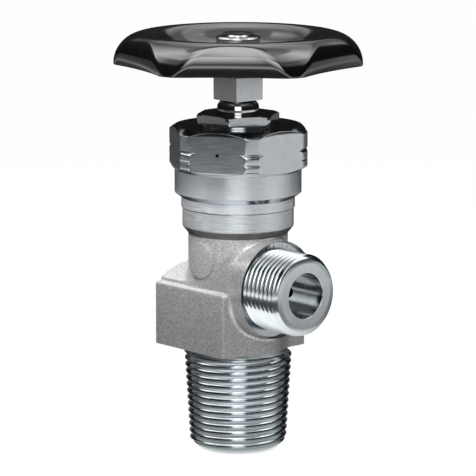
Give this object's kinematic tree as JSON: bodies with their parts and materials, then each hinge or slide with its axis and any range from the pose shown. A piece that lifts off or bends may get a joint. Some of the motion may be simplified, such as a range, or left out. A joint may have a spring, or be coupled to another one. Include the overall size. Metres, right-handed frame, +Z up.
{
  "type": "gas cylinder valve",
  "caption": "Diaphragm cylinder valve: taper-threaded stem, side outlet with counterbore, hexagon bonnet and round handwheel on a screwed spindle.",
  "frame": {"origin": "centre of the stem's flat lower end, on the spindle's axis", "axes": "+Z up the spindle towards the handwheel, +X along the outlet, pointing out of its mouth"},
  "size_m": [0.0648, 0.0648, 0.1114],
  "materials": {
    "forged_body": "satin, blasted forging with bright machined faces",
    "bonnet_plate": "bright nickel-chrome plate on turned brass",
    "gland_plate": "bright plate",
    "spindle_steel": "polished steel",
    "sleeve_plate": "plated steel",
    "wheel_plastic": "gloss black moulding",
    "nut_chrome": "bright chrome",
    "spring_steel": "plain stainless wire",
    "diaphragm_steel": "bright rolled stainless sheet",
    "ring_brass": "turned brass",
    "seat_polymer": "matt off-white polymer",
    "slip_polymer": "matt white polymer",
    "seal_rubber": "black rubber"
  },
  "bodies": {
    "valve": {"valve_body": "forged_body", "lower_diaphragm": "diaphragm_steel", "middle_diaphragm": "diaphragm_steel", "upper_diaphragm": "diaphragm_steel", "clamp_ring": "ring_brass", "poppet_spring": "spring_steel", "bonnet_nut": "bonnet_plate", "slip_washer": "slip_polymer", "gland_washer": "gland_plate", "gland_nut": "gland_plate", "shank_o_ring": "seal_rubber"},
    "lift_train": {"thrust_pad": "ring_brass", "thrust_ball": "spindle_steel", "poppet": "ring_brass", "seat_insert": "seat_polymer"},
    "wheel_train": {"spindle": "spindle_steel", "square_sleeve": "sleeve_plate", "handwheel": "wheel_plastic", "hub_washer": "nut_chrome", "spring_washer": "spring_steel", "wheel_nut": "nut_chrome"}
  },
  "joints": [
    {"name": "spindle_lift", "type": "slide", "parent": "valve", "child": "lift_train", "axis": [0, 0, 1], "range_m": [0, 0.00125], "deforming": ["poppet_spring", "lower_diaphragm", "middle_diaphragm", "upper_diaphragm"]},
    {"name": "wheel_turn", "type": "hinge", "parent": "lift_train", "child": "wheel_train", "pos_m": [0, 0, 0.08], "axis": [0, 0, 1], "range_deg": [0, 450]}
  ],
  "couplings": [
    {"joint": "spindle_lift", "follows": "wheel_turn", "m_per_rad": 0.00015915}
  ]
}
